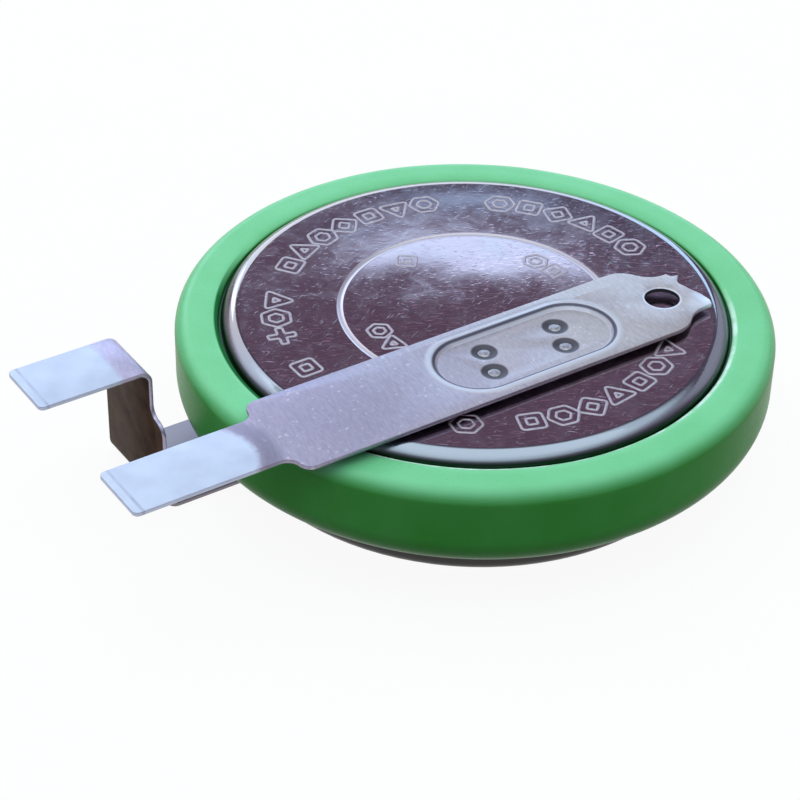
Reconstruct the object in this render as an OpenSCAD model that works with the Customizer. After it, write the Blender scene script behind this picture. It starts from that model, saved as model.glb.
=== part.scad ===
// Tabbed lithium coin cell of the size 20 mm by 5.0 mm, in millimetres.
// The cell lies on its negative side, with the positive face up.
// Both terminals point to -X and lie in one plane, a little above the positive face.
// Origin: centre of the footprint, on the surface that the strip under the cap lies on.

/* [Cell] */
// Outside diameter of the steel can
can_d = 20; // [16:0.5:24]
// Thickness of the cell from the cap's face to the can's face
cell_h = 4.8; // [4.6:0.05:6]
// Width of the stepped rim round the raised positive face
rim_w = 1.85; // [1.5:0.05:2.2]
// Drop from the positive face to the rim
rim_drop = 0.46; // [0.4:0.02:0.55]
// Radius of the shoulder round the positive face
shoulder_r = 0.6; // [0.55:0.05:0.8]
// Diameter of the circle engraved in the positive face
ring_d = 9.3; // [6:0.1:12]
// Width of the engraved line
ring_line_w = 0.16; // [0.1:0.02:0.3]
// Depth of the engraved line
ring_line_depth = 0.04; // [0.02:0.01:0.08]

/* [Can and crimp] */
// Thickness of the can's sheet
can_t = 0.25; // [0.2:0.01:0.3]
// Outside radius of the can's upper corner
can_corner_r = 0.35; // [0.32:0.01:0.5]
// Outside radius of the crimp
crimp_r = 1; // [0.9:0.05:1.1]
// Angle that the crimp turns through
crimp_angle = 100; // [80:5:105]
// Height of the can's wall from the crimp's lowest line to the rim
can_wall_h = 2.7; // [2.5:0.05:2.9]

/* [Negative cap] */
// Thickness of the cap's sheet
cap_t = 0.25; // [0.2:0.01:0.28]
// Distance from the can's wall in to the cap's wall
cap_inset = 1.5; // [1.45:0.05:1.65]
// Outside radius round the cap's face
cap_corner_r = 0.4; // [0.35:0.05:0.6]
// Inside radius of the bends in the cap's flange
cap_bend_r = 0.15; // [0.12:0.01:0.18]
// Height of the folded edge's end above the bend of the crimp
hem_gap = 0.1; // [0.05:0.05:0.4]

/* [Gasket] */
// Thickness of the gasket between the can's wall and the cap
gasket_t = 0.35; // [0.3:0.01:0.38]
// Thickness of the gasket under the can's rim
gasket_foot_t = 0.4; // [0.3:0.05:0.5]
// Thickness of the gasket that the crimp squeezes against the cap
gasket_lip_t = 0.25; // [0.2:0.01:0.3]
// Thickness of the gasket's inner wall
gasket_inner_t = 0.3; // [0.2:0.05:0.35]
// Depth of the channel in the gasket that holds the cap's mouth
gasket_channel = 0.5; // [0.3:0.05:0.8]
// Gap from the cap's wall out to the gasket's lip
gasket_lip_gap = 0.15; // [0.1:0.01:0.2]

/* [Electrodes] */
// Thickness of the pressed cathode pellet
cathode_t = 2.75; // [2.3:0.05:3]
// Thickness of the steel ring round the cathode
collector_t = 0.2; // [0.15:0.01:0.25]
// Height of the ring's lower edge above the pellet's lower face
collector_end = 0.7; // [0.5:0.05:1.2]
// Distance from the edge of the flat face in to the ring's foot
collector_foot_gap = 0.1; // [0.05:0.01:0.15]
// Thickness of the separator's floor
separator_t = 0.25; // [0.15:0.01:0.35]
// Thickness of the separator's turned-up edge
separator_wall = 0.12; // [0.1:0.01:0.15]
// Height of the separator, with its turned-up edge
separator_h = 1.6; // [1:0.05:2]
// Gap between the separator and the cap's wall
separator_gap = 0.3; // [0.2:0.05:0.35]
// Gap between the lithium disc and the cap's wall
lithium_gap = 0.6; // [0.4:0.05:0.8]

/* [Sleeve] */
// Thickness of the sleeve on the can's wall
sleeve_t = 0.3; // [0.2:0.01:0.35]
// Thickness of the sleeve's lip on the can's rim
sleeve_lip_t = 0.25; // [0.15:0.01:0.3]
// Outside radius of the sleeve's upper edge
sleeve_edge_r = 0.5; // [0.45:0.01:0.6]
// Radius that rounds the edge of the lip
sleeve_lip_r = 0.1; // [0.05:0.01:0.12]
// Gap between the raised face and the lip
sleeve_lip_gap = 0.07; // [0.03:0.01:0.15]

/* [Tab blank] */
// Thickness of the tab strip
tab_t = 0.15; // [0.12:0.01:0.2]
// Width of a terminal
tip_w = 2.4; // [2:0.1:3]
// Radius of a terminal's corners
tip_corner_r = 0.2; // [0.1:0.05:0.4]
// Width of the welded part
strip_w = 4; // [3.8:0.1:4.2]
// Distance from the tip to where the strip starts to widen
neck_from_tip = 5.1; // [4.8:0.05:5.3]
// Length over which it widens
neck_l = 0.9; // [0.7:0.05:1.2]
// Distance from the middle of the weld marks to the end of the full width
shoulder_x = 4.9; // [4.4:0.1:5.2]
// Length over which the strip narrows to the broken bridge
bridge_neck_l = 1.7; // [1.4:0.05:1.9]
// Width of the broken bridge
bridge_w = 2.3; // [2:0.1:2.6]
// Shift of the bridge and the pilot hole off the strip's centre line
bridge_shift = 0.15; // [0:0.05:0.3]
// Shortest length of the broken bridge
bridge_l = 0.1; // [0.05:0.05:0.2]
// Height of the teeth on the bridge's torn edge
tear_h = 0.34; // [0.1:0.02:0.5]
// Distance from the middle of the weld marks to the pilot hole
hole_x = 5.65; // [5.2:0.05:5.8]
// Diameter of the pilot hole
hole_d = 1.2; // [0.8:0.1:1.3]

/* [Weld pan] */
// Height of the positive strip over the can's face, which is the depth of its pan
pan_depth = 0.15; // [0.1:0.01:0.3]
// Length of the pan's floor
pan_l = 6.5; // [6:0.1:7]
// Width of the pan's floor
pan_w = 2.7; // [2.5:0.1:3]
// Width of the pan's sloping side
pan_slope = 0.14; // [0.1:0.01:0.18]
// Distance between the weld marks along the strip
weld_pitch_l = 2.9; // [2.4:0.1:3.2]
// Distance between the weld marks across the strip
weld_pitch_w = 1.1; // [1:0.05:1.2]
// Shift of the second row of weld marks along the strip
weld_skew = 0.35; // [0:0.05:0.5]
// Diameter of a weld mark
weld_d = 0.9; // [0.6:0.05:0.95]
// Diameter of a weld mark's floor
weld_floor_d = 0.55; // [0.3:0.05:0.58]
// Depth of a weld mark
weld_depth = 0.06; // [0.03:0.01:0.08]

/* [Tab places] */
// Length of the terminals beyond the sleeve
tip_overhang = 5.2; // [5:0.05:5.9]
// Distance from the cell's axis to the positive tab's centre line
positive_tab_y = 3.2; // [2.8:0.05:3.6]
// Distance from the cell's axis to the negative tab's centre line
negative_tab_y = 3.2; // [2.8:0.05:3.6]
// Distance along the strip from the cell's axis to the middle of the pan
positive_pan_x = 0.2; // [-0.5:0.1:1]
// Distance along the strip from the cell's axis to the middle of the negative weld marks
negative_weld_x = 4.9; // [4:0.1:5]
// Gap between the sleeve and the negative tab's riser
riser_gap = 1.15; // [0.8:0.05:1.4]
// Inside radius of the bend between riser and terminal
top_bend_r = 0.3; // [0.2:0.05:0.5]
// Inside radius of the bend between riser and strip
foot_bend_r = 0.4; // [0.3:0.05:1.2]

/* [Hidden] */
$fn = 96;
// A little more than a cut needs, so that it goes clear through
over = 0.1;

// Heights below are measured from the cap's face, and radii from the cell's axis
can_r = can_d / 2;
face_r = can_r - rim_w;
rim_z = cell_h - rim_drop;
can_inner_r = can_r - can_t;
crimp_h = rim_z - can_wall_h;
crimp_x = can_r - crimp_r;
crimp_z = crimp_h + crimp_r;
crimp_cut_r = crimp_r * 2;

cap_r = can_r - cap_inset;
cap_inner_r = cap_r - cap_t;
hem_r = can_inner_r - gasket_t;
mouth_r = hem_r - cap_t;
flange_z = crimp_h + can_t + gasket_lip_t;
mouth_z = rim_z - can_t - gasket_foot_t;
hem_h = mouth_z - crimp_z - hem_gap;

gasket_inner_r = mouth_r - cap_t - gasket_inner_t;
gasket_edge_r = cap_r + gasket_lip_gap;
gasket_edge_z = crimp_h + can_t / 2;

cathode_top = cell_h - can_t;
cathode_bottom = cathode_top - cathode_t;
separator_bottom = cathode_bottom - separator_t;
separator_r = cap_inner_r - separator_gap;
collector_r = separator_r - separator_wall;
collector_h = cathode_t - collector_end;
pellet_r = collector_r - collector_t;
lithium_r = cap_inner_r - lithium_gap;

sleeve_r = can_r + sleeve_t;
sleeve_top = rim_z + sleeve_lip_t;
lip_r = face_r + shoulder_r + sleeve_lip_gap;

// The standing surface, the cell's axis and the two welded faces in the part's own frame
cap_z = tab_t;
tip_reach = sleeve_r + tip_overhang;
cell_x = (tip_reach - sleeve_r) / 2;
top_z = cap_z + cell_h + pan_depth + tab_t;

// The negative tab's bends, and how much of the terminal's length the upper one ends at
riser_out_x = sleeve_r + riser_gap + tab_t;
top_bend_x = riser_out_x + top_bend_r;
top_bend_z = top_z - tab_t - top_bend_r;
foot_bend_x = riser_out_x - tab_t - foot_bend_r;
foot_bend_z = tab_t + foot_bend_r;
quarter = PI / 2;
riser_from_tip = tip_reach - top_bend_x + quarter * (top_bend_r + tab_t / 2);

// The bridge's torn edge from side to side, as shares of half its width and of the teeth's height
TORN_EDGE = [[-1, 0.6], [-0.8, 0.9], [-0.4, 0.8], [0, 0.4], [0.4, 0.1], [0.56, 0.3],
             [0.76, 1], [0.82, 0.25], [1, 0]];

// Part of the ring between two radii, from one angle to another, at most 170 degrees apart
module ring_sector(r_in, r_out, from, to) {
    far = 2 * r_out;
    middle = (from + to) / 2;
    intersection() {
        difference() {
            circle(r = r_out);
            circle(r = r_in);
        }
        polygon([[0, 0], far * [cos(from), sin(from)], far * [cos(middle), sin(middle)],
                 far * [cos(to), sin(to)]]);
    }
}

// Half section of everything inside the can's top and wall, at a depth under its skin
module can_form(depth) {
    translate([0, crimp_z]) {
        square([face_r, cell_h - depth - crimp_z]);
        square([face_r + shoulder_r - depth, cell_h - shoulder_r - crimp_z]);
        square([can_r - can_corner_r, rim_z - depth - crimp_z]);
        square([can_r - depth, rim_z - can_corner_r - crimp_z]);
    }
    translate([face_r, cell_h - shoulder_r]) circle(r = shoulder_r - depth);
    translate([can_r - can_corner_r, rim_z - can_corner_r]) circle(r = can_corner_r - depth);
}

module can_section() {
    difference() {
        can_form(0);
        can_form(can_t);
        translate([(ring_d - ring_line_w) / 2, cell_h - ring_line_depth])
            square([ring_line_w, ring_line_depth + over]);
    }
    translate([crimp_x, crimp_z]) ring_sector(crimp_r - can_t, crimp_r, -crimp_angle, 0);
}

// Half section of the cap filled up to its mouth, at a depth under its skin
module cap_form(depth) {
    bend_x = cap_r + cap_bend_r;
    bend_z = flange_z - cap_bend_r;
    drum_top = mouth_z - cap_t;
    translate([0, depth]) square([cap_r - cap_corner_r, drum_top - depth]);
    translate([cap_r - cap_corner_r, cap_corner_r]) circle(r = cap_corner_r - depth);
    translate([0, cap_corner_r]) square([cap_r - depth, drum_top - cap_corner_r]);
    difference() {
        translate([0, bend_z]) square([bend_x, flange_z + depth - bend_z]);
        translate([bend_x, bend_z]) circle(r = cap_bend_r + depth);
    }
    turn_r = cap_bend_r + cap_t;
    translate([0, flange_z + depth]) square([mouth_r - turn_r, drum_top - flange_z - depth]);
    translate([mouth_r - turn_r, flange_z + turn_r]) intersection() {
        circle(r = turn_r - depth);
        translate([0, -turn_r]) square(turn_r);
    }
    translate([0, flange_z + turn_r]) square([mouth_r - depth, drum_top - flange_z - turn_r]);
}

module cap_section() {
    difference() {
        cap_form(0);
        cap_form(cap_t);
    }
    // The mouth is folded out and down on itself
    translate([mouth_r, mouth_z - cap_t]) intersection() {
        circle(r = cap_t);
        translate([-cap_t, 0]) square([2 * cap_t, cap_t]);
    }
    translate([mouth_r, mouth_z - hem_h]) square([cap_t, hem_h - cap_t]);
}

// Half section of the gasket: the room between the can and the cap
module gasket_section() {
    difference() {
        union() {
            intersection() {
                can_form(can_t);
                translate([mouth_r, crimp_z]) square([can_r, cell_h]);
            }
            translate([gasket_inner_r, mouth_z - cap_t])
                square([can_r - can_corner_r - gasket_inner_r, gasket_foot_t + cap_t]);
            translate([gasket_inner_r, mouth_z - gasket_channel])
                square([gasket_inner_t, gasket_channel]);
        }
        can_section();
        cap_section();
    }
    difference() {
        translate([gasket_edge_r, gasket_edge_z])
            square([can_inner_r - gasket_edge_r, crimp_z - gasket_edge_z]);
        can_section();
        cap_form(0);
        cap_section();
        // Everything outside the crimp
        difference() {
            translate([crimp_x, crimp_z - crimp_cut_r]) square([crimp_cut_r, crimp_cut_r]);
            translate([crimp_x, crimp_z]) circle(r = crimp_r - can_t);
        }
    }
}

module sleeve_section() {
    difference() {
        union() {
            translate([lip_r, crimp_z]) square([sleeve_r - sleeve_edge_r - lip_r,
                                                sleeve_top - sleeve_lip_r - crimp_z]);
            translate([lip_r + sleeve_lip_r, crimp_z])
                square([sleeve_r - sleeve_edge_r - lip_r - sleeve_lip_r, sleeve_top - crimp_z]);
            translate([lip_r + sleeve_lip_r, sleeve_top - sleeve_lip_r]) circle(r = sleeve_lip_r);
            translate([sleeve_r - sleeve_edge_r, sleeve_top - sleeve_edge_r])
                circle(r = sleeve_edge_r);
            translate([can_inner_r, crimp_z])
                square([sleeve_r - can_inner_r, sleeve_top - sleeve_edge_r - crimp_z]);
        }
        can_form(0);
    }
    translate([crimp_x, crimp_z])
        ring_sector(crimp_r, crimp_r + sleeve_t, -crimp_angle, 0);
}

// Places a round piece on the cell's axis, with its zero height at the cap's face
module on_cell() {
    translate([cell_x, 0, cap_z]) children();
}

module positive_can() {
    color([0.72, 0.72, 0.75]) on_cell() rotate_extrude() can_section();
}

module negative_cap() {
    color([0.66, 0.67, 0.69]) on_cell() rotate_extrude() cap_section();
}

module sealing_gasket() {
    color([0.88, 0.89, 0.86]) on_cell() rotate_extrude() gasket_section();
}

module cathode_pellet() {
    color([0.12, 0.12, 0.13]) on_cell() translate([0, 0, cathode_bottom])
        cylinder(r = pellet_r, h = cathode_t);
}

module cathode_ring() {
    color([0.6, 0.61, 0.63]) on_cell() translate([0, 0, cathode_top]) difference() {
        union() {
            translate([0, 0, -collector_h]) cylinder(r = collector_r, h = collector_h);
            translate([0, 0, -collector_t])
                cylinder(r = face_r - collector_foot_gap, h = collector_t);
        }
        translate([0, 0, -collector_h - over]) cylinder(r = pellet_r, h = collector_h + 2 * over);
    }
}

module separator() {
    color([0.95, 0.95, 0.92]) on_cell() translate([0, 0, separator_bottom]) difference() {
        cylinder(r = separator_r, h = separator_h);
        translate([0, 0, separator_t]) cylinder(r = collector_r, h = separator_h);
    }
}

module lithium_disc() {
    color([0.78, 0.79, 0.82]) on_cell() translate([0, 0, cap_t])
        cylinder(r = lithium_r, h = separator_bottom - cap_t);
}

module insulating_sleeve() {
    color([0.45, 0.85, 0.6]) on_cell() rotate_extrude() sleeve_section();
}

// One side of a strip that narrows from half width wide to half width narrow over length, with
// its edge in two equal arcs that meet halfway
module narrowing_side(length, wide, narrow) {
    arc_r = (length * length + (wide - narrow) * (wide - narrow)) / (4 * (wide - narrow));
    half_l = length / 2;
    half_way = (wide + narrow) / 2;
    square([half_l, half_way]);
    intersection() {
        translate([0, wide - arc_r]) circle(r = arc_r);
        square([half_l, wide]);
    }
    difference() {
        translate([half_l, 0]) square([half_l, half_way]);
        translate([length, narrow + arc_r]) circle(r = arc_r);
    }
}

// A strip that narrows from one width to another, its narrow end shifted to one side
module narrowing(length, wide_w, narrow_w, shift = 0) {
    narrowing_side(length, wide_w / 2, narrow_w / 2 - shift);
    mirror([0, 1]) narrowing_side(length, wide_w / 2, narrow_w / 2 + shift);
}

// Outline of a terminal from its tip at x = 0 to a length
module terminal_outline(length) {
    for (side = [-1, 1]) translate([tip_corner_r, side * (tip_w / 2 - tip_corner_r)])
        circle(r = tip_corner_r);
    translate([0, tip_corner_r - tip_w / 2]) square([length, tip_w - 2 * tip_corner_r]);
    translate([tip_corner_r, -tip_w / 2]) square([length - tip_corner_r, tip_w]);
}

// Outline of the tab's wide part, from a length before the middle of its weld marks, at x = 0
module strip_outline(before) {
    translate([-before, -strip_w / 2]) square([shoulder_x + before, strip_w]);
    translate([shoulder_x, 0]) narrowing(bridge_neck_l, strip_w, bridge_w, bridge_shift);
    translate([shoulder_x + bridge_neck_l, -bridge_shift])
        polygon(concat([[-over, bridge_w / 2], [-over, -bridge_w / 2]],
                       [for (p = TORN_EDGE) [bridge_l + p[1] * tear_h, p[0] * bridge_w / 2]]));
}

// An oval block with round ends, whose side slopes from one radius to another
module oval_block(length, low_r, high_r, height) {
    for (end = [-1, 1]) translate([end * length / 2, 0, 0])
        cylinder(r1 = low_r, r2 = high_r, h = height);
    rotate([90, 0, 90]) linear_extrude(length, center = true)
        polygon([[-low_r, 0], [low_r, 0], [high_r, height], [-high_r, height]]);
}

// The wide part of a tab with its pilot hole, its face at z = 0
module flat_strip(before) {
    difference() {
        translate([0, 0, -tab_t]) linear_extrude(tab_t) strip_outline(before);
        translate([hole_x, -bridge_shift, -tab_t - over])
            cylinder(d = hole_d, h = tab_t + 2 * over);
    }
}

// The four weld marks, sunk into a face at z = 0
module weld_marks() {
    for (along = [-1, 1], across = [-1, 1])
        translate([(along * weld_pitch_l + across * weld_skew) / 2, across * weld_pitch_w / 2,
                   -weld_depth])
            cylinder(d1 = weld_floor_d, d2 = weld_d, h = weld_depth);
}

// The wide part of the positive tab, with a pan pressed down to the can's face
module pressed_strip(before) {
    straight = pan_l - pan_w;
    floor_r = pan_w / 2;
    difference() {
        union() {
            flat_strip(before);
            translate([0, 0, -tab_t - pan_depth])
                oval_block(straight, floor_r + pan_slope, floor_r + 2 * pan_slope, pan_depth);
        }
        translate([0, 0, -pan_depth])
            oval_block(straight, floor_r, floor_r + pan_slope, pan_depth);
        translate([0, 0, -pan_depth]) weld_marks();
    }
}

module positive_tab() {
    before = tip_reach - positive_pan_x - neck_from_tip - neck_l;
    color([0.68, 0.68, 0.72]) translate([cell_x - positive_pan_x, -positive_tab_y, top_z]) {
        translate([-before, 0, -tab_t]) linear_extrude(tab_t) {
            mirror([1, 0]) narrowing(neck_l, strip_w, tip_w);
            translate([-neck_from_tip - neck_l, 0]) terminal_outline(neck_from_tip);
        }
        pressed_strip(before);
    }
}

// A bend in the XZ plane, across a width
module bend(r_in, from, to, width) {
    rotate([90, 0, 0]) linear_extrude(width, center = true)
        ring_sector(r_in, r_in + tab_t, from, to);
}

module negative_tab() {
    // Where the blank starts and stops widening, as heights on the riser
    neck_z = top_bend_z - (neck_from_tip - riser_from_tip);
    wide_z = neck_z - neck_l;
    color([0.68, 0.68, 0.72]) translate([cell_x, negative_tab_y, 0]) {
        translate([-tip_reach, 0, top_z - tab_t]) linear_extrude(tab_t)
            terminal_outline(tip_reach - top_bend_x);
        translate([-top_bend_x, 0, top_bend_z]) bend(top_bend_r, 0, 90, tip_w);
        // The riser, drawn on the YZ plane
        translate([-riser_out_x, 0, 0]) rotate([90, 0, 90]) linear_extrude(tab_t) {
            translate([-tip_w / 2, neck_z]) square([tip_w, top_bend_z - neck_z]);
            translate([0, wide_z]) rotate(90) narrowing(neck_l, strip_w, tip_w);
            translate([-strip_w / 2, foot_bend_z]) square([strip_w, wide_z - foot_bend_z]);
        }
        translate([-foot_bend_x, 0, foot_bend_z]) bend(foot_bend_r, 180, 270, strip_w);
        // The strip under the cap, turned over
        translate([-negative_weld_x, 0, 0]) rotate([180, 0, 0]) difference() {
            flat_strip(foot_bend_x - negative_weld_x);
            weld_marks();
        }
    }
}

positive_can();
negative_cap();
sealing_gasket();
cathode_pellet();
cathode_ring();
separator();
lithium_disc();
insulating_sleeve();
positive_tab();
negative_tab();
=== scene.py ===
import math

import bpy
import bmesh
import numpy as np
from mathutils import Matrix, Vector


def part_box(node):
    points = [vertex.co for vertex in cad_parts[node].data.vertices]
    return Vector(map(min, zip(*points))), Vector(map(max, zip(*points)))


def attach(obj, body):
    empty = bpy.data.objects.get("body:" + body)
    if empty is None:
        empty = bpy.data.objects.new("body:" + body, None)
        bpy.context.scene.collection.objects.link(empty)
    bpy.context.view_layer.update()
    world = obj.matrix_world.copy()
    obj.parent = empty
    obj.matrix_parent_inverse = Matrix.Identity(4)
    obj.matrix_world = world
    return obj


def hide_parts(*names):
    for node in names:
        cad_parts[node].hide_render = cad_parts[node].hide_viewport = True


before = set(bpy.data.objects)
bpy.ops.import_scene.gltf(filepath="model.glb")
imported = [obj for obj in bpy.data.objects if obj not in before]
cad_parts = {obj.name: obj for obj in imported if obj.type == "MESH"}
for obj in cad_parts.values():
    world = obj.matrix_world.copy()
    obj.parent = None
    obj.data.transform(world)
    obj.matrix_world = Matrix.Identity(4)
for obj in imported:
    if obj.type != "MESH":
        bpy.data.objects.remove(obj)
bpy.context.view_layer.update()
MM = 0.001


# Positive can. Drawn from stainless steel sheet, nickel-bright, with a raised polished face and a
# rolled shoulder round it. The face has a thin engraved circle, and is scratched and crazed by
# the feeding tracks and the weld electrodes. Sizes here and below are in millimetres.
can_low, can_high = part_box("positive_can")
axis_x = (can_low.x + can_high.x) / 2 / MM
face_z = can_high.z / MM
can_r = (can_high.x - can_low.x) / 2 / MM
FACE_R, SHOULDER_R, RIM_DROP = 8.15, 0.6, 0.46
RING_R, RING_LINE_W, RING_LINE_DEPTH = 4.65, 0.17, 0.03
CAN_SHEET, CAN_CORNER_R, CAN_WALL_H = 0.25, 0.35, 2.7
CRIMP_R, CRIMP_DEGREES = 1.0, 100
FACE_BOW, FACE_WAVE = 0.03, 0.002
CAN_SEGMENTS = 384
CAN_TONE, PLUM_STEEL, PALE_STEEL = (0.45, 0.43, 0.46), (0.42, 0.35, 0.4), (0.48, 0.43, 0.475)
SLATE_STEEL, CRAZED_STEEL, RING_STEEL = (0.32, 0.315, 0.38), (0.72, 0.54, 0.64), (0.48, 0.42, 0.46)
SHOULDER_NEAR_REFLECTION, SHOULDER_FAR_REFLECTION, GAP_SHADE_AND_GREEN_REFLECTION = (0.3, 0.33, 0.38), (0.42, 0.34, 0.31), (0.02, 0.06, 0.03)
WORN_ROUGHNESS = 0.3
PIT_DEPTH, MOTTLE_DEPTH, SCRATCH_DEPTH = 0.0005, 0.0007, 0.0008


def arc(centre_r, centre_z, radius, start, end, steps):
    """Points of a circle's arc in the half section: centre plus radius times cosine and sine of
    angles evenly spaced from start to end, in degrees."""
    t = np.radians(np.linspace(start, end, steps))
    return np.c_[centre_r + radius * np.cos(t), centre_z + radius * np.sin(t)]


def level(start, end, z, steps):
    """Points of a level line in the half section, evenly spaced between two radii."""
    return np.c_[np.linspace(start, end, steps), np.full(steps, z)]


def grid_faces(rows, columns, close_rows, close_columns):
    """Quads of a grid of points numbered row by row: each joins a point, its neighbour along the
    row, and the same two of the next row, with the last joined to the first where it closes."""
    r = np.arange(rows if close_rows else rows - 1)[:, None]
    c = np.arange(columns if close_columns else columns - 1)[None, :]
    a = r * columns + c
    b = r * columns + (c + 1) % columns
    d = ((r + 1) % rows) * columns + c
    e = ((r + 1) % rows) * columns + (c + 1) % columns
    return np.stack([a, b, e, d], -1).reshape(-1, 4)


def revolved(profile, segments, waver=None, centre=(axis_x, 0)):
    """Points of a half section turned round an upright axis: x and y are the centre plus radius
    times cosine and sine. waver adds a small change of radius and height that depends on the
    profile point and the angle."""
    t = np.linspace(0, 2 * np.pi, segments, endpoint=False)[:, None]
    r = np.repeat(profile[None, :, 0], segments, 0)
    z = np.repeat(profile[None, :, 1], segments, 0)
    if waver is not None:
        extra_r, extra_z = waver(r, z, t)
        r, z = r + extra_r, z + extra_z
    points = np.stack([centre[0] + r * np.cos(t), centre[1] + r * np.sin(t), z], -1)
    return points.reshape(-1, 3)


def new_piece(name, points_mm, quads, slot_name):
    """A smooth mesh object from points in millimetres and quads, with its doubles merged and its
    faces turned outwards, riding on the part's one body."""
    mesh = bpy.data.meshes.new(name)
    mesh.from_pydata((np.asarray(points_mm) * MM).tolist(), [], np.asarray(quads).tolist())
    work = bmesh.new()
    work.from_mesh(mesh)
    bmesh.ops.remove_doubles(work, verts=work.verts, dist=1e-8)
    bmesh.ops.recalc_face_normals(work, faces=work.faces)
    work.to_mesh(mesh)
    work.free()
    mesh.polygons.foreach_set("use_smooth", [True] * len(mesh.polygons))
    piece = bpy.data.objects.new(name, mesh)
    bpy.context.scene.collection.objects.link(piece)
    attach(piece, "root")
    return piece


def as_colour(value):
    """A colour with full alpha; a plain number stands for a grey."""
    return (*value, 1) if isinstance(value, tuple) else (value, value, value, 1)


class Patterns:
    """Adds pattern nodes to a node tree. The values that its methods take are sockets, numbers
    or colours, and a pattern comes back as the socket that carries it."""

    def __init__(self, tree):
        self.nodes, self.links = tree.nodes, tree.links

    def join(self, value, socket):
        """Links a socket to an input, or sets the input itself to a number or a colour."""
        if isinstance(value, bpy.types.NodeSocket):
            self.links.new(value, socket)
        else:
            socket.default_value = as_colour(value) if socket.type == "RGBA" else value

    def maths(self, operation, *values):
        """One maths node."""
        made = self.nodes.new("ShaderNodeMath")
        made.operation = operation
        for value, socket in zip(values, made.inputs):
            self.join(value, socket)
        return made.outputs[0]

    def split(self, vector):
        """The X, Y and Z of a vector."""
        made = self.nodes.new("ShaderNodeSeparateXYZ")
        self.links.new(vector, made.inputs[0])
        return list(made.outputs)

    def ramp(self, value, first, second):
        """A value turned into a colour that runs between two pairs of position and colour."""
        made = self.nodes.new("ShaderNodeValToRGB")
        for element, (position, colour) in zip(made.color_ramp.elements, (first, second)):
            element.position = position
            element.color = as_colour(colour)
        self.links.new(value, made.inputs["Fac"])
        return made.outputs["Color"]

    def mix(self, share, first, second):
        """The first colour where the share is 0, and the second where it is 1."""
        made = self.nodes.new("ShaderNodeMix")
        made.data_type = "RGBA"
        for name, value in (("Factor", share), ("A", first), ("B", second)):
            self.join(value, next(s for s in made.inputs if s.name == name and s.enabled))
        return next(s for s in made.outputs if s.enabled)


class Finish(Patterns):
    """A material: a Principled shader that starts with plain values, and patterns that are read
    in millimetres from the part's origin."""

    def __init__(self, name, colour, metallic, roughness):
        self.material = bpy.data.materials.new(name)
        self.material.use_nodes = True
        super().__init__(self.material.node_tree)
        self.shader = self.nodes["Principled BSDF"]
        self.give("Base Color", colour)
        self.give("Metallic", metallic)
        self.give("Roughness", roughness)
        in_mm = self.nodes.new("ShaderNodeVectorMath")
        in_mm.operation = "SCALE"
        in_mm.inputs["Scale"].default_value = 1 / MM
        self.links.new(self.nodes.new("ShaderNodeTexCoord").outputs["Object"], in_mm.inputs[0])
        self.space = in_mm.outputs[0]
        self.x, self.y, self.z = self.split(self.space)

    def give(self, name, value):
        """Joins a value to one of the shader's inputs."""
        self.join(value, self.shader.inputs[name])

    def facing(self):
        """The X, Y and Z of the surface's normal."""
        return self.split(self.nodes.new("ShaderNodeNewGeometry").outputs["Normal"])

    def noise(self, grains, detail=3, stretch=None, turn=0.0, distortion=0.0):
        """Noise of a given number of grains per millimetre; stretch scales the space first,
        after a turn about the vertical."""
        texture = self.nodes.new("ShaderNodeTexNoise")
        texture.inputs["Scale"].default_value = grains
        texture.inputs["Detail"].default_value = detail
        texture.inputs["Distortion"].default_value = distortion
        space = self.space
        if stretch is not None:
            mapping = self.nodes.new("ShaderNodeMapping")
            mapping.vector_type = "TEXTURE"
            mapping.inputs["Rotation"].default_value = (0, 0, turn)
            mapping.inputs["Scale"].default_value = stretch
            self.links.new(space, mapping.inputs["Vector"])
            space = mapping.outputs[0]
        self.links.new(space, texture.inputs["Vector"])
        return texture.outputs["Fac"]

    def length_of(self, across, shade_along):
        """The root of the sum of two squares."""
        return self.maths("SQRT", self.maths("ADD", self.maths("MULTIPLY", across, across),
                                             self.maths("MULTIPLY", shade_along, shade_along)))

    def distance_from(self, x, y):
        """Distance in plan, in millimetres, from an upright axis."""
        return self.length_of(self.maths("SUBTRACT", self.x, x), self.maths("SUBTRACT", self.y, y))

    def band(self, value, middle, half, soft):
        """1 where a value is within half of middle, falling to 0 over soft."""
        off = self.maths("ABSOLUTE", self.maths("SUBTRACT", value, middle))
        made = self.nodes.new("ShaderNodeMapRange")
        made.inputs["From Min"].default_value = half + soft
        made.inputs["From Max"].default_value = half
        self.links.new(off, made.inputs["Value"])
        return made.outputs["Result"]

    def bump(self, *layers):
        """Chains bump nodes from pairs of a height socket and its depth in millimetres."""
        normal = None
        for height, depth in layers:
            made = self.nodes.new("ShaderNodeBump")
            made.inputs["Strength"].default_value = 1
            made.inputs["Distance"].default_value = depth * MM
            self.links.new(height, made.inputs["Height"])
            if normal is not None:
                self.links.new(normal, made.inputs["Normal"])
            normal = made.outputs["Normal"]
        self.give("Normal", normal)


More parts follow.
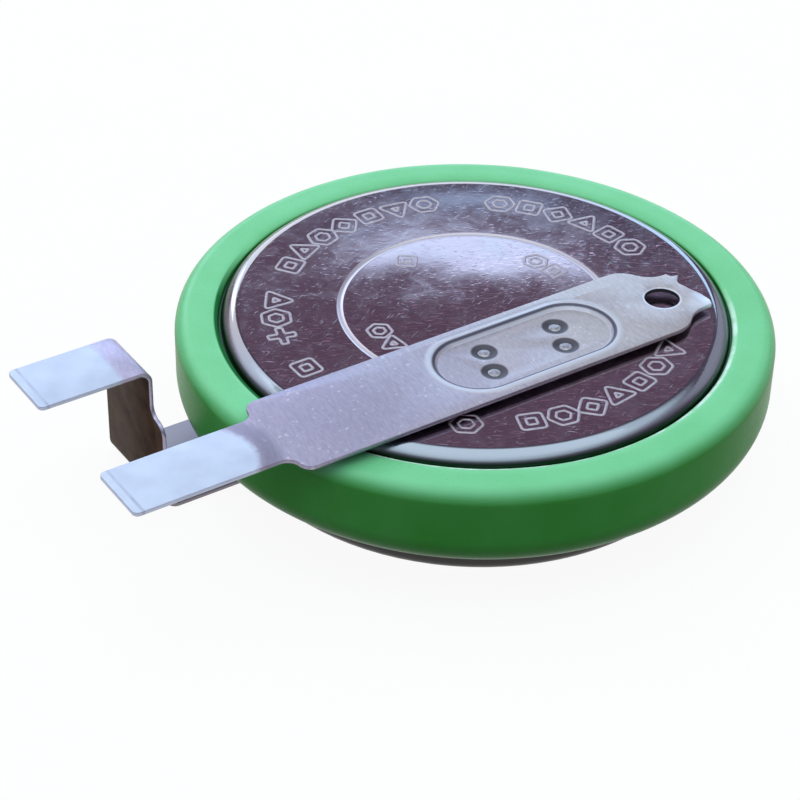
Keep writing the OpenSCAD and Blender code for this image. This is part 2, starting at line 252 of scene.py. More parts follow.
rim_z = face_z - RIM_DROP
crimp_z = rim_z - CAN_WALL_H + CRIMP_R
crimp_x = can_r - CRIMP_R
half_line = RING_LINE_W / 2
lip_steps = np.array([0.04, 0.01, -0.03])
groove_r = RING_R + np.r_[-half_line - lip_steps, 0, (half_line + lip_steps)[::-1]]
groove_z = face_z + RING_LINE_DEPTH * np.array([0, 0.05, -0.7, -1, -0.7, 0.05, 0])
can_profile = np.concatenate([
    level(0, RING_R - half_line - 0.06, face_z, 60),
    np.c_[groove_r, groove_z],
    level(RING_R + half_line + 0.06, FACE_R - 0.02, face_z, 60),
    arc(FACE_R, face_z - SHOULDER_R, SHOULDER_R, 90, 13.5, 28),
    [[FACE_R + SHOULDER_R, rim_z + 0.06], [FACE_R + SHOULDER_R + 0.06, rim_z]],
    arc(can_r - CAN_CORNER_R, rim_z - CAN_CORNER_R, CAN_CORNER_R, 90, 0, 10),
    arc(crimp_x, crimp_z, CRIMP_R, 0, -CRIMP_DEGREES, 24),
    # Back along the inside
    arc(crimp_x, crimp_z, CRIMP_R - CAN_SHEET, -CRIMP_DEGREES, 0, 24),
    arc(can_r - CAN_CORNER_R, rim_z - CAN_CORNER_R, CAN_CORNER_R - CAN_SHEET, 0, 90, 5),
    [[FACE_R + SHOULDER_R, rim_z - CAN_SHEET]],
    arc(FACE_R, face_z - SHOULDER_R, SHOULDER_R - CAN_SHEET, 0, 90, 8),
    [[0, face_z - CAN_SHEET]]])


def face_fall(r):
    """How far the face lies under its highest level: it domes inside the engraved circle,
    falling as the square of the radius, and rises again to the shoulder outside it."""
    outside = np.clip((r - RING_R) / (FACE_R - RING_R), 0, 1)
    return FACE_BOW * np.where(r < RING_R, (r / RING_R) ** 2, 1 - outside ** 2)


def face_waver(r, z, t):
    """The bow of the face, and slow waves a few thousandths of a millimetre high, two and three
    to a turn, that fade out at the axis and the shoulder and stay under the face's level."""
    on_face = (z > face_z - 0.05) & (r < FACE_R)
    fade = np.clip((FACE_R - r) / 1.2, 0, 1) * np.clip(r / 2.5, 0, 1) ** 2
    waves = np.sin(2 * t + 1.1 * r - 1.2) + 0.75 * np.sin(3 * t - 1.3 * r + 1.3) - 1.75
    return 0 * r, np.where(on_face, fade * FACE_WAVE * waves - face_fall(r), 0)


can = new_piece("can_shell", revolved(can_profile, CAN_SEGMENTS, face_waver),
                grid_faces(CAN_SEGMENTS, len(can_profile), True, True), "can_steel")
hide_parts("positive_can")

steel = Finish("can_steel", CAN_TONE, 1, 0.1)
radius = steel.distance_from(axis_x, 0)
on_ring = steel.band(radius, RING_R, 0.09, 0.03)
on_shoulder = steel.band(radius, can_r, can_r - FACE_R, 0.04)
on_foot = steel.band(radius, can_r, can_r - FACE_R - 0.35, 0.15)
in_gap = steel.band(radius, can_r, can_r - FACE_R - SHOULDER_R + 0.08, 0.1)
far_share = steel.maths("MULTIPLY_ADD", steel.y, 0.5 / can_r, 0.5)
mottle = steel.noise(1.3, 6, distortion=0.8)
pits = steel.noise(6)
fine_scratches = steel.noise(1, 3, (0.7, 0.04, 1), 0.5)
cross_scratches = steel.noise(1, 3, (0.8, 0.05, 1), 2.4)
# Plum and pale steel in patches, turning to slate towards the corner of +X and +Y
colour = steel.mix(steel.ramp(mottle, (0.45, 0), (0.75, 1)), PLUM_STEEL, PALE_STEEL)
diagonal = steel.maths("MULTIPLY_ADD", steel.maths("ADD", steel.x, steel.y), 0.7 / can_r,
                       -0.7 * axis_x / can_r)
clouds = steel.maths("MULTIPLY_ADD", steel.noise(0.35), 0.8, -0.4)
slaty = steel.ramp(steel.maths("ADD", diagonal, clouds), (0.3, 0), (0.7, 1))
colour = steel.mix(slaty, colour, SLATE_STEEL)
# Short pinkish crazing lines, dense on the half towards -Y
crazing = steel.ramp(steel.noise(1, 4, (0.34, 0.07, 1), -0.45, 0.5), (0.57, 0), (0.67, 1))
crazed = steel.maths("MULTIPLY", steel.ramp(far_share, (0.56, 1), (0.66, 0.15)), crazing)
colour = steel.mix(crazed, colour, CRAZED_STEEL)
# Painted reflection on the shoulder: bluish slate on the near half, towards -Y, turning creamy on
# the far half
colour = steel.mix(on_shoulder, colour,
                   steel.ramp(far_share, (0.55, SHOULDER_NEAR_REFLECTION), (0.85, SHOULDER_FAR_REFLECTION)))
# Painted shade and a painted green reflection of the film on the shoulder's foot, in the gap under
# the film's edge
colour = steel.mix(in_gap, colour, GAP_SHADE_AND_GREEN_REFLECTION)
steel.give("Base Color", steel.mix(on_ring, colour, RING_STEEL))
worn = steel.mix(on_foot, steel.ramp(mottle, (0.4, 0.06), (0.75, 0.1)), WORN_ROUGHNESS)
steel.give("Roughness", steel.mix(on_ring, worn, WORN_ROUGHNESS))
steel.bump((steel.ramp(pits, (0.6, 0), (0.72, 1)), PIT_DEPTH),
           (mottle, MOTTLE_DEPTH),
           (steel.ramp(fine_scratches, (0.68, 0), (0.74, 1)), SCRATCH_DEPTH),
           (steel.ramp(cross_scratches, (0.7, 0), (0.76, 1)), SCRATCH_DEPTH))
can.data.materials.append(steel.material)


# Stamped marks. The press strikes a band of shallow outlines into the raised face, here plain
# signs without meaning, and the polarity cross. Each is a double line, the raised burr on both
# sides of the cut.
MARK_BURR_W, MARK_BURR_H, MARK_CUT_W = 0.12, 0.014, 0.25
SIGN_R, SIGN_ROUNDING = 0.42, 0.18
CROSS_ARM, CROSS_W, CROSS_ROUNDING = 0.95, 0.24, 0.06
BAND_R, INNER_BAND_R, MARK_PITCH = 6.85, 3.65, 9.2
MARK_TONE, MARK_DARK, MARK_LIGHT = (0.5, 0.45, 0.5), (0.34, 0.3, 0.34), (0.5, 0.45, 0.5)


def rounded_path(corners, radius):
    """A closed polygon with its corners cut by arcs: each corner becomes a quadratic curve
    between the points one radius before and after it."""
    corners = np.asarray(corners, float)
    before = np.roll(corners, 1, 0) - corners
    after = np.roll(corners, -1, 0) - corners
    start = corners + before / np.linalg.norm(before, axis=1)[:, None] * radius
    end = corners + after / np.linalg.norm(after, axis=1)[:, None] * radius
    t = np.linspace(0, 1, 6)[None, :, None]
    curve = ((1 - t) ** 2 * start[:, None] + 2 * t * (1 - t) * corners[:, None]
             + t ** 2 * end[:, None])
    return curve.reshape(-1, 2)


def even_sign(sides, turn):
    """The two outlines of a sign with equal sides: corners on circles half a cut wider and half
    a cut narrower than its middle line."""
    t = np.radians(turn) + 2 * np.pi * np.arange(sides) / sides
    widen = MARK_CUT_W / 2 / math.cos(math.pi / sides)
    paths = []
    for reach in (SIGN_R + widen, SIGN_R - widen):
        side = reach * 2 * math.sin(math.pi / sides)
        paths.append(rounded_path(reach * np.c_[np.cos(t), np.sin(t)], side * SIGN_ROUNDING))
    return paths


def cross_sign():
    """The outline of an upright cross: twelve corners, lightly rounded."""
    a, w = CROSS_ARM / 2, CROSS_W / 2
    corners = [[w, w], [w, a], [-w, a], [-w, w], [-a, w], [-a, -w], [-w, -w], [-w, -a], [w, -a],
               [w, -w], [a, -w], [a, w]]
    return [rounded_path(corners, CROSS_ROUNDING)]


def burr_tube(path, angle, radius):
    """A low ridge along a closed path. The path is placed with its middle at a radius and angle
    of the face and its top pointing outwards; the ridge's section is a flat half ellipse with
    its foot a little under the face."""
    ahead = np.roll(path, -1, 0) - np.roll(path, 1, 0)
    normal = np.c_[ahead[:, 1], -ahead[:, 0]]
    normal /= np.linalg.norm(normal, axis=1)[:, None]
    across = np.array([-1, -0.7, 0, 0.7, 1, 0]) * MARK_BURR_W / 2
    up = np.array([-0.8, 0.7, 1, 0.7, -0.8, -1.4]) * MARK_BURR_H
    flat = path[:, None] + normal[:, None] * across[None, :, None]
    out = np.array([math.cos(angle), math.sin(angle)])
    side = np.array([out[1], -out[0]])
    plan = flat[..., :1] * side + (flat[..., 1:] + radius) * out
    fall = face_fall(np.linalg.norm(plan, axis=-1, keepdims=True))
    height = face_z - fall + up[None, :, None]
    points = np.concatenate([plan + [axis_x, 0], height], -1)
    return points.reshape(-1, 3), grid_faces(len(path), len(across), True, True)


def joined(grids):
    """Pairs of points and quads as one pair: each grid's quads count on from the points before
    it."""
    starts = np.cumsum([0] + [len(points) for points, quads in grids])
    return (np.concatenate([points for points, quads in grids]),
            np.concatenate([quads + start for (points, quads), start in zip(grids, starts)]))


# Signs with equal sides are their number of sides and their turn
TRIANGLE, SQUARE, DIAMOND, SIX, DOWN, CROSS = (3, 90), (4, 45), (4, 0), (6, 0), (3, -90), None
# The angle of a row's first sign, the row's radius, the scale of its signs, and its signs
ROWS = [(126.5, BAND_R, 1.0, (SQUARE, TRIANGLE, SIX, DIAMOND, SQUARE, DOWN, SIX)),
        (48, BAND_R, 1.0, (SIX, SQUARE, DIAMOND, TRIANGLE, SQUARE, SIX)),
        (164, BAND_R, 1.0, (CROSS, SIX, DOWN)),
        (181, BAND_R, 1.0, (SQUARE,)),
        (-54, BAND_R, 1.0, (TRIANGLE, SIX, SQUARE, DOWN, DIAMOND, SIX, SQUARE)),
        (-127, BAND_R, 1.0, (SIX,)),
        (97, INNER_BAND_R, 0.8, (DIAMOND,)),
        (20, INNER_BAND_R, 0.8, (SIX, SQUARE)),
        (187, INNER_BAND_R, 0.8, (TRIANGLE, SIX))]
ridges = []
for first_angle, row_r, scale, signs in ROWS:
    for place, sign in enumerate(signs):
        angle = math.radians(first_angle - place * MARK_PITCH * BAND_R / row_r * scale)
        for path in cross_sign() if sign is CROSS else even_sign(*sign):
            ridges.append(burr_tube(path * scale, angle, row_r))
marks = new_piece("stamped_marks", *joined(ridges), "can_steel")
mark_steel = Finish("mark_steel", MARK_TONE, 1, 0.5)
grain = mark_steel.noise(12)
mark_steel.give("Base Color", mark_steel.ramp(grain, (0.3, MARK_DARK), (0.7, MARK_LIGHT)))
mark_steel.bump((grain, 0.006))
marks.data.materials.append(mark_steel.material)


# Insulating sleeve. A green heat-shrunk plastic film that wraps the can's rim, wall and crimp;
# its free edge lies on the rim just outside the shoulder, a little wavy from the shrinking.
SLEEVE_T, LIP_T, SLEEVE_EDGE_R = 0.3, 0.25, 0.5
LIP_EDGE_W, LIP_EDGE_H, LIP_GAP = 0.32, 0.14, 0.04
LIP_WANDER, LIP_SAG, TOP_SWELL = 0.025, 0.02, 0.02
SLEEVE_SEGMENTS = 360
SLEEVE_TONE = (0.16, 0.6, 0.24)
# Shaded and lit copies of the film's green, painted for the wall and the top
SHADED_WALL_GREEN, SHADED_WALL_GREEN_PALE = (0.062, 0.42, 0.06), (0.08, 0.46, 0.085)
LIT_TOP_GREEN, LIT_TOP_GREEN_PALE = (0.175, 0.63, 0.275), (0.2, 0.67, 0.315)
# Painted shade and painted glint colours for the film's edge
LIP_SHADE_GREEN, LIP_GLINT_WHITE = (0.015, 0.16, 0.04), (0.8, 1.0, 0.9)
sleeve_r = can_r + SLEEVE_T
sleeve_top = rim_z + LIP_T
lip_r = FACE_R + SHOULDER_R + LIP_GAP
lip_turn = np.radians(np.linspace(180, 90, 12))
sleeve_profile = np.concatenate([
    np.c_[lip_r + LIP_EDGE_W * (1 + np.cos(lip_turn)),
          sleeve_top - LIP_EDGE_H * (1 - np.sin(lip_turn))],
    level(lip_r + LIP_EDGE_W + 0.08, sleeve_r - SLEEVE_EDGE_R - 0.05, sleeve_top, 9),
    arc(sleeve_r - SLEEVE_EDGE_R, sleeve_top - SLEEVE_EDGE_R, SLEEVE_EDGE_R, 90, 0, 14),
    np.c_[np.full(8, sleeve_r), np.linspace(sleeve_top - SLEEVE_EDGE_R - 0.1, crimp_z + 0.1, 8)],
    arc(crimp_x, crimp_z, CRIMP_R + SLEEVE_T, 0, -CRIMP_DEGREES, 26),
    # Back along the can's skin
    arc(crimp_x, crimp_z, CRIMP_R, -CRIMP_DEGREES, 0, 22),
    arc(can_r - CAN_CORNER_R, rim_z - CAN_CORNER_R, CAN_CORNER_R, 0, 90, 8),
    [[lip_r, rim_z]]])


def shrink_waver(r, z, t):
    """The free edge wanders a few hundredths of a millimetre in and out and up and down, and
    the top dips and swells in long waves; the part on the can's skin keeps still."""
    near_lip = np.clip(1 - (r - lip_r) / 0.45, 0, 1) * (z > rim_z + 0.01)
    top = np.clip((z - rim_z) / LIP_T, 0, 1) * (r < sleeve_r - 0.05)
    edge = 0.5 * np.sin(3 * t + 0.4) + 0.3 * np.sin(7 * t + 2) + 0.2 * np.sin(17 * t)
    swell = 0.5 * np.sin(2 * t + 1) + 0.3 * np.sin(5 * t) + 0.2 * np.sin(11 * t + 0.7)
    return (near_lip * LIP_WANDER * (edge + 0.6),
            top * (-TOP_SWELL * np.abs(swell) - near_lip * LIP_SAG))


sleeve = new_piece("sleeve_film", revolved(sleeve_profile, SLEEVE_SEGMENTS, shrink_waver),
                   grid_faces(SLEEVE_SEGMENTS, len(sleeve_profile), True, True), "sleeve_film")
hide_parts("insulating_sleeve")

green = Finish("sleeve_green", SLEEVE_TONE, 0, 0.4)
cloud = green.noise(0.5)
grain = green.noise(14)
# Painted light: the film is painted a pale milky green where it faces up, as lit from above, and a
# deeper shaded green down the wall
lit_top_share = green.ramp(green.facing()[2], (0.1, 0), (0.9, 1))
shaded_wall_green = green.ramp(cloud, (0.35, SHADED_WALL_GREEN), (0.65, SHADED_WALL_GREEN_PALE))
lit_top_green = green.ramp(cloud, (0.35, LIT_TOP_GREEN), (0.65, LIT_TOP_GREEN_PALE))
film = green.mix(lit_top_share, shaded_wall_green, lit_top_green)
# Painted light on its edge: a painted dark green shade without specular towards -X, and a painted
# white glint in patches towards -Y
on_lip = green.band(green.distance_from(axis_x, 0), lip_r + 0.09, 0.05, 0.06)
toward_near_side = green.ramp(green.maths("MULTIPLY", green.y, -1 / can_r), (0.3, 0), (0.6, 1))
lip_shade = green.ramp(green.maths("MULTIPLY_ADD", green.x, -1 / can_r, axis_x / can_r), (0.45, 0),
                    (0.7, 1))
lip_shade = green.maths("MULTIPLY", on_lip, green.maths(
    "MULTIPLY", lip_shade, green.maths("SUBTRACT", 1, toward_near_side)))
film = green.mix(lip_shade, film, LIP_SHADE_GREEN)
patchy = green.ramp(green.noise(1.4), (0.4, 0.25), (0.6, 1))
lip_glint = green.maths("MULTIPLY", on_lip, green.maths("MULTIPLY", toward_near_side, patchy))
green.give("Base Color", green.mix(lip_glint, film, LIP_GLINT_WHITE))
green.give("Roughness", green.ramp(grain, (0.3, 0.26), (0.7, 0.36)))
green.give("Specular IOR Level", green.mix(lip_shade, green.mix(lit_top_share, 0.05, 0.25), 0))
green.bump((cloud, 0.02), (grain, 0.0015))
sleeve.data.materials.append(green.material)


# Tabs. Both are stamped from nickel-plated steel strip, spot welded, and tinned at the narrow
# end: satin lilac-grey metal with fine brush marks, and a bluish bright coat of solder.
TAB_EDGE_R = 0.018
STRIP_TONE = (0.5, 0.49, 0.6)
# Brush tones, each painted darker at the tip end and lighter at the far end as painted shade
DULL_SHADED_TIP, DULL_LIT_END = (0.31, 0.28, 0.39), (0.39, 0.36, 0.37)
BRIGHT_SHADED_TIP, BRIGHT_LIT_END = (0.38, 0.345, 0.46), (0.5, 0.46, 0.48)
SPECK, DARK_BAND_TINT = (0.62, 0.6, 0.68), (0.2, 0.185, 0.26)
SOLDER_DULL, SOLDER_BRIGHT, SOLDER_LINE = (0.51, 0.56, 0.69), (0.58, 0.64, 0.78), (0.36, 0.38, 0.5)
STRIP_ROUGHNESS, SOLDER_ROUGHNESS = 0.42, 0.55
STRIP_METALLIC, SHADE_RUN = 0.8, 14
SOLDER_FADE, RAGGED_EDGE, SOLDER_LINE_FROM_TIP = 0.25, 0.2, 0.3


def dressed_copy(node, name):
    """The node's own solid with its doubles merged and its flat faces joined up, and a fine
    rounding on every sharp edge, as a die leaves it."""
    work = bmesh.new()
    work.from_mesh(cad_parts[node].data)
    bmesh.ops.remove_doubles(work, verts=work.verts, dist=2e-7)
    bmesh.ops.dissolve_limit(work, angle_limit=math.radians(0.5), verts=work.verts,
                             edges=work.edges)
    mesh = bpy.data.meshes.new(name)
    work.to_mesh(mesh)
    work.free()
    mesh.polygons.foreach_set("use_smooth", [True] * len(mesh.polygons))
    piece = bpy.data.objects.new(name, mesh)
    bpy.context.scene.collection.objects.link(piece)
    rounding = piece.modifiers.new("die_rounding", "BEVEL")
    rounding.width = TAB_EDGE_R * MM
    rounding.segments = 2
    rounding.limit_method = "ANGLE"
    rounding.angle_limit = math.radians(28)
    rounding.harden_normals = True
    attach(piece, "root")
    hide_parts(node)
    return piece


def strip_finish(name, tip_x, solder_x, middle_y, solder_curve, band_darkness, painted_lightness):
    """Satin strip metal that turns into bright solder past a line across the strip. The line lies
    at solder_x on the strip's middle and bows by solder_curve, and the solder is drawn back in a
    fine line beside the tip. band_darkness is how dark the strip is in a band just before the
    solder, and painted_lightness scales the strip's colour as painted light, for how brightly the
    strip is lit. Returns the finish, its colour and its bump layers, which the two strips' own
    details build on."""
    strip = Finish(name, STRIP_TONE, STRIP_METALLIC, STRIP_ROUGHNESS)
    brush = strip.noise(1, 3, (0.06, 0.3, 0.3), -0.1)
    flecks = strip.noise(6)
    waves = strip.noise(1.1)
    beside = strip.maths("SUBTRACT", strip.y, middle_y)
    bow = strip.maths("MULTIPLY", strip.maths("MULTIPLY", beside, beside), solder_curve)
    into_solder = strip.maths("SUBTRACT", strip.maths("SUBTRACT", solder_x, bow), strip.x)
    ragged = strip.maths("MULTIPLY", strip.maths("SUBTRACT", flecks, 0.5), RAGGED_EDGE)
    into_solder = strip.maths("ADD", into_solder, ragged)
    tinned = strip.ramp(strip.maths("MULTIPLY_ADD", into_solder, 1 / SOLDER_FADE, 0.5), (0, 0),
                        (1, 1))
    # The strip is darker in a band just before the solder
    dark_band = strip.maths("MULTIPLY", strip.band(into_solder, -0.45, 0.15, 0.35), band_darkness)

    def lit(colour):
        """A colour times the strip's painted lightness."""
        return tuple(painted_lightness * part for part in colour)

    # Painted shade along the strip: both brush tones are painted darker towards -X, the tinned end
    shade_along = strip.maths("MULTIPLY_ADD", strip.x, 1 / SHADE_RUN, 0.5)
    satin = strip.mix(strip.ramp(brush, (0.3, 0), (0.7, 1)),
                      strip.ramp(shade_along, (0.1, lit(DULL_SHADED_TIP)), (0.9, lit(DULL_LIT_END))),
                      strip.ramp(shade_along, (0.1, lit(BRIGHT_SHADED_TIP)), (0.9, lit(BRIGHT_LIT_END))))
    satin = strip.mix(strip.ramp(strip.noise(5, 2), (0.64, 0), (0.72, 0.5)), satin, SPECK)
    satin = strip.mix(dark_band, satin, DARK_BAND_TINT)
    solder = strip.ramp(waves, (0.3, SOLDER_DULL), (0.7, SOLDER_BRIGHT))
    drawn_back = strip.maths(
        "MULTIPLY", strip.band(strip.x, tip_x + SOLDER_LINE_FROM_TIP, 0.02, 0.06),
        strip.ramp(waves, (0.35, 0.1), (0.65, 0.8)))
    solder = strip.mix(drawn_back, solder, SOLDER_LINE)
    strip.give("Roughness", strip.mix(tinned, STRIP_ROUGHNESS, SOLDER_ROUGHNESS))
    layers = [(waves, 0.008), (brush, 0.003), (flecks, 0.002)]
    return strip, strip.mix(tinned, satin, solder), layers


# Positive strip. It lies flat, with a long pan pressed down to the can's face. The pan has painted
# shade in the crease at the top of its slope, a painted highlight on the slope, and a soft raised
# lip outside it with a painted highlight. The four weld marks are burnt dark, the pilot hole has a
# painted highlight on its burr and painted shade in its bore, and the torn tip a painted
# highlight.
PAN_X, PAN_HALF, PAN_EDGE = 2.4, 1.9, 1.49
WELD_ALONG, WELD_ACROSS, WELD_SKEW, WELD_RING_R = 1.45, 0.55, 0.175, 0.32
HOLE_X, HOLE_SHIFT, HOLE_R = 8.05, -0.15, 0.6
POSITIVE_SOLDER_X = -8.15
LIP_HIGHLIGHT, SLOPE_HIGHLIGHT, CREASE_SHADE = (0.52, 0.51, 0.56), (0.5, 0.5, 0.56), (0.1, 0.1, 0.14)
BURNT, BURR_HIGHLIGHT, BORE_SHADE = (0.07, 0.065, 0.08), (0.6, 0.61, 0.68), (0.07, 0.07, 0.08)
TORN_TIP_HIGHLIGHT = (0.72, 0.77, 0.86)
positive = dressed_copy("positive_tab", "positive_strip")
tab_low, tab_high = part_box("positive_tab")
strip_y = (tab_low.y + tab_high.y) / 2 / MM
welds = [(PAN_X + shade_along * WELD_ALONG + across * WELD_SKEW, strip_y + across * WELD_ACROSS)
         for shade_along in (-1, 1) for across in (-1, 1)]
strip, colour, layers = strip_finish("positive_tab_metal", tab_low.x / MM, POSITIVE_SOLDER_X,
                                     strip_y, 0.3, 0.6, 1)
# Distance from the middle line of the pan, which is a straight piece with a round end each way
beyond = strip.maths("ABSOLUTE", strip.maths("SUBTRACT", strip.x, PAN_X))
beyond = strip.maths("MAXIMUM", strip.maths("SUBTRACT", beyond, PAN_HALF), 0)
from_pan = strip.length_of(beyond, strip.maths("SUBTRACT", strip.y, strip_y))
lip = strip.band(from_pan, PAN_EDGE + 0.15, 0.04, 0.14)
slope_highlight = strip.band(from_pan, PAN_EDGE - 0.11, 0.03, 0.04)
crease_shade = strip.band(from_pan, PAN_EDGE, 0.035, 0.04)
burnt = 0
for x, y in welds:
    ring = strip.band(strip.distance_from(x, y), WELD_RING_R, 0.1, 0.07)
    burnt = strip.maths("MAXIMUM", burnt, ring)
from_hole = strip.distance_from(HOLE_X, strip_y + HOLE_SHIFT)
torn_tip = max((vertex.co for vertex in positive.data.vertices), key=lambda co: co.x - co.y)
from_torn_tip = strip.distance_from(torn_tip.x / MM, torn_tip.y / MM)
# Painted highlights on the pan's lip and slope, the hole's burr and the torn tip; painted shade in
# the pan's crease and the hole's bore; the weld rings are burnt dark
for share, tint in ((lip, LIP_HIGHLIGHT), (slope_highlight, SLOPE_HIGHLIGHT), (crease_shade, CREASE_SHADE), (burnt, BURNT),
                    (strip.band(from_hole, HOLE_R, 0.05, 0.05), BURR_HIGHLIGHT),
                    (strip.band(from_hole, 0, HOLE_R + 0.008, 0.006), BORE_SHADE),
                    (strip.band(from_torn_tip, 0, 0.3, 0.7), TORN_TIP_HIGHLIGHT)):
    colour = strip.mix(share, colour, tint)
strip.give("Base Color", colour)
strip.bump(*layers, (lip, 0.018))
positive.data.materials.append(strip.material)


# Negative strip. It runs out from under the cap, is bent up as a riser beside the cell and bent
# out again to its terminal. The riser's outer face has a painted dark brown reflection, and the
# strip by the table has painted shade.
NEGATIVE_SOLDER_X, RISER_FROM_X = -9.85, -11
RISER_REFLECTION_DARK, RISER_REFLECTION_LIGHT = (0.055, 0.028, 0.015), (0.13, 0.075, 0.043)
LOW_STRIP_SHADE = (0.24, 0.215, 0.25)
negative = dressed_copy("negative_tab", "negative_strip")
neg_low, neg_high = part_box("negative_tab")
# The negative strip's colour is painted lighter, as painted light for its brightly lit bend
strip, colour, layers = strip_finish("negative_tab_metal", neg_low.x / MM, NEGATIVE_SOLDER_X,
                                     (neg_low.y + neg_high.y) / 2 / MM, 0.05, 0, 1.3)
# Painted reflection: the riser's outer face, towards -X, is painted a mottled dark brown, not
# metallic and nearly without specular, as the mirrored dark brown table
on_riser = strip.ramp(strip.maths("MULTIPLY", strip.facing()[0], -1), (0.45, 0), (0.85, 1))
on_riser = strip.maths("MULTIPLY", on_riser, strip.maths("GREATER_THAN", strip.x, RISER_FROM_X))
riser_reflection = strip.ramp(strip.noise(1.2), (0.35, RISER_REFLECTION_DARK), (0.65, RISER_REFLECTION_LIGHT))
# Painted shade on the strip by the table, under the cell
colour = strip.mix(strip.band(strip.z, 0, 0.4, 0.3), colour, LOW_STRIP_SHADE)
strip.give("Base Color", strip.mix(on_riser, colour, riser_reflection))
strip.give("Metallic", strip.ramp(on_riser, (0, STRIP_METALLIC), (1, 0)))
strip.give("Specular IOR Level", strip.ramp(on_riser, (0, 0.5), (1, 0.03)))
strip.bump(*layers)
negative.data.materials.append(strip.material)


# Weld nuggets. Each weld mark keeps a low rounded button of melted steel in its middle, left
# bright by the electrode.
NUGGET_R, NUGGET_H, NUGGET_ROOT, PAN_FLOOR = 0.22, 0.035, 0.01, 0.06
NUGGET_SEGMENTS = 32
NUGGET_TONE, NUGGET_DARK, NUGGET_LIGHT = (0.3, 0.28, 0.31), (0.2, 0.19, 0.21), (0.46, 0.44, 0.48)
nugget_z = (face_z + tab_high.z / MM) / 2 - PAN_FLOOR
# A quarter ellipse on a short root, whose top is a ring of 0.0001 mm radius
t = np.linspace(0, np.pi / 2, 7)
nugget_profile = np.concatenate([
    [[NUGGET_R, nugget_z - NUGGET_ROOT]],
    np.c_[NUGGET_R * np.cos(t) + 1e-4, nugget_z + NUGGET_H * np.sin(t)]])
nugget_faces = grid_faces(NUGGET_SEGMENTS, len(nugget_profile), True, False)
nuggets = new_piece("weld_nuggets", *joined([
    (revolved(nugget_profile, NUGGET_SEGMENTS, centre=weld), nugget_faces) for weld in welds]),
    "tab_steel")
nugget_metal = Finish("nugget_metal", NUGGET_TONE, 0.9, 0.35)
grain = nugget_metal.noise(10)
nugget_metal.give("Base Color", nugget_metal.ramp(grain, (0.3, NUGGET_DARK), (0.7, NUGGET_LIGHT)))
nugget_metal.bump((grain, 0.006))
nuggets.data.materials.append(nugget_metal.material)


# Inner pieces. Inside the crimped can sit the gasket of milky plastic, the pressed cathode in
# its steel ring, the felt separator, the lithium disc and the drawn cap that closes the cell.
INNER_FINISHES = {
    # Name, dark and light tone, how metallic, how rough, grains per millimetre and their depth
    "negative_cap": ("cap_steel", (0.36, 0.35, 0.36), (0.48, 0.47, 0.49), 1, 0.3, 4, 0.004),
    "sealing_gasket": ("gasket_plastic", (0.78, 0.79, 0.76), (0.88, 0.89, 0.86), 0, 0.5, 6,
                       0.006),
    "cathode_pellet": ("cathode_powder", (0.015, 0.015, 0.018), (0.05, 0.05, 0.055), 0, 0.85, 14,
                       0.03),
    "cathode_ring": ("ring_metal", (0.48, 0.48, 0.5), (0.6, 0.6, 0.62), 1, 0.35, 5, 0.004),
    "separator": ("felt", (0.8, 0.8, 0.76), (0.95, 0.95, 0.92), 0, 0.9, 18, 0.04),
    "lithium_disc": ("lithium", (0.5, 0.51, 0.54), (0.68, 0.69, 0.73), 0.9, 0.5, 3, 0.01),
}
CAP_WALL_SHADE = (0.035, 0.033, 0.028)
for node, (name, dark, light, metallic, roughness, grains, depth) in INNER_FINISHES.items():
    finish = Finish(name, light, metallic, roughness)
    grain = finish.noise(grains, 4)
    colour = finish.ramp(grain, (0.3, dark), (0.7, light))
    if node == "negative_cap":
        # Its wall, low by the table, is painted dark and made less metallic: painted shade and a
        # painted dark reflection
        flat = finish.maths("ABSOLUTE", finish.facing()[2])
        colour = finish.mix(finish.ramp(flat, (0.8, 0), (0.98, 1)), CAP_WALL_SHADE, colour)
        finish.give("Metallic", finish.ramp(flat, (0.8, 0.2), (0.98, 1)))
    finish.give("Base Color", colour)
    finish.bump((grain, depth))
    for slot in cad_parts[node].material_slots:
        slot.material = finish.material


# Floor. A plain pale table. To the camera and to mirror-like metal it shows nearly white, with
# the cell's soft shadow; to the rest of the scene it is darker, so that it throws little light
# up under the cell.
FLOOR_HALF = 0.6
FLOOR_TONE, FLOOR_DARK, FLOOR_WHITE_DULL, FLOOR_WHITE = 0.8, (0.14, 0.12, 0.11), 0.9, 0.93
FLOOR_GLOW = 0.93
floor_mesh = bpy.data.meshes.new("floor")
floor_mesh.from_pydata([(-FLOOR_HALF, -FLOOR_HALF, 0), (FLOOR_HALF, -FLOOR_HALF, 0),
                        (FLOOR_HALF, FLOOR_HALF, 0), (-FLOOR_HALF, FLOOR_HALF, 0)], [],
                       [(0, 1, 2, 3)])
floor = bpy.data.objects.new("floor", floor_mesh)
bpy.context.scene.collection.objects.link(floor)
paint = Finish("floor_paint", FLOOR_TONE, 0, 0.9)
paint.give("Specular IOR Level", 0.1)
white = paint.ramp(paint.noise(0.2, 2), (0.3, FLOOR_WHITE_DULL), (0.7, FLOOR_WHITE))
ray = paint.nodes.new("ShaderNodeLightPath").outputs
seen = paint.maths("MAXIMUM", ray["Is Camera Ray"], paint.maths(
    "MAXIMUM", ray["Is Glossy Ray"], ray["Is Transmission Ray"]))
paint.give("Base Color", paint.mix(seen, FLOOR_DARK, white))
glow = paint.nodes.new("ShaderNodeEmission")
glow.inputs["Color"].default_value = (1, 1, 1, 1)
glow.inputs["Strength"].default_value = 1
lit_floor = paint.nodes.new("ShaderNodeMixShader")
paint.join(paint.maths("MULTIPLY", seen, FLOOR_GLOW), lit_floor.inputs[0])
paint.join(paint.shader.outputs[0], lit_floor.inputs[1])
paint.join(glow.outputs[0], lit_floor.inputs[2])
paint.join(lit_floor.outputs[0], paint.nodes["Material Output"].inputs["Surface"])
floor.data.materials.append(paint.material)


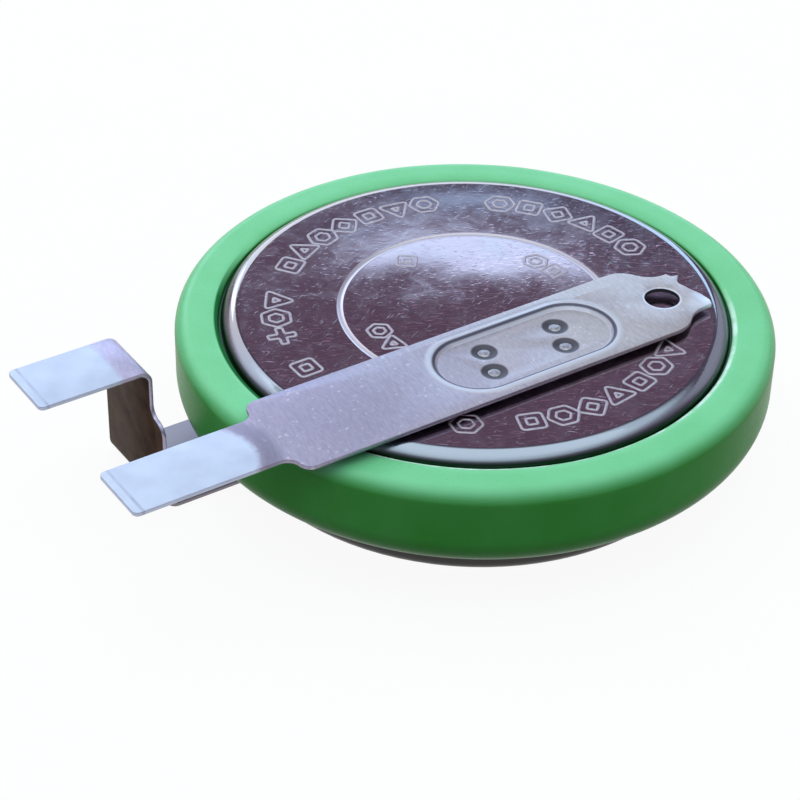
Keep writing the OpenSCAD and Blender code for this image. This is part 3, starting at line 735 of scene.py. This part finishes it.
# Light. A wide weak soft box overhead, and three beyond the cell whose reflections make the
# bright parts of the face, the shoulder and the tabs. The room round them is a dim plum, and
# pale high up, and the camera sees it white. Places and sizes are in metres.
DAYLIGHT, SKYLIGHT, SOFT_DAYLIGHT = (0.94, 0.97, 1.0), (0.58, 0.8, 1.0), (0.86, 0.93, 1.0)
ROOM_PLUM, ROOM_PALE, ROOM_STRENGTH = (0.15, 0.108, 0.155), (0.8, 0.93, 1.0), 1.35


def soft_box(name, place, width, height, power, colour):
    """An area light at a place that faces the cell."""
    light = bpy.data.lights.new(name, "AREA")
    light.shape = "RECTANGLE"
    light.size, light.size_y = width, height
    light.energy = power
    light.color = colour
    lamp = bpy.data.objects.new(name, light)
    bpy.context.scene.collection.objects.link(lamp)
    lamp.location = place
    lamp.rotation_mode = "QUATERNION"
    lamp.rotation_quaternion = (-Vector(place)).to_track_quat("-Z", "Y")


soft_box("overhead", (0.0, 0.02, 0.4), 0.5, 0.45, 0.3, DAYLIGHT)
soft_box("behind", (0.2397, 0.4106, 0.1637), 0.4, 0.235, 0.66, SKYLIGHT)
soft_box("left", (-0.065, 0.367, 0.252), 0.42, 0.22, 0.4, SOFT_DAYLIGHT)
soft_box("right", (0.416, 0.0585, 0.187), 0.36, 0.24, 0.13, SOFT_DAYLIGHT)

world = bpy.data.worlds.new("room")
bpy.context.scene.world = world
world.use_nodes = True
room = Patterns(world.node_tree)
height = room.split(room.nodes.new("ShaderNodeTexCoord").outputs["Generated"])[2]
seen = room.nodes.new("ShaderNodeLightPath").outputs["Is Camera Ray"]
background = room.nodes["Background"].inputs
room.join(room.mix(seen, room.ramp(height, (0.64, ROOM_PLUM), (0.76, ROOM_PALE)), 1),
          background["Color"])
room.join(room.maths("MULTIPLY_ADD", seen, 1 - ROOM_STRENGTH, ROOM_STRENGTH),
          background["Strength"])


# Camera. It stands where the photograph's did, which was found from the circles of the cell and
# the edges of the tabs. Its place is in metres and its turn in degrees.
CAMERA_PLACE, CAMERA_TURN = (-0.0386, -0.056916, 0.051387), (54.26818, -1.05541, -33.09175)
camera_data = bpy.data.cameras.new("camera")
camera_data.sensor_width = 36
camera_data.lens = 110.465
camera_data.clip_start = 0.001
camera = bpy.data.objects.new("camera", camera_data)
bpy.context.scene.collection.objects.link(camera)
camera.location = CAMERA_PLACE
camera.rotation_euler = [math.radians(angle) for angle in CAMERA_TURN]
bpy.context.scene.camera = camera
bpy.context.scene.view_settings.view_transform = "Standard"
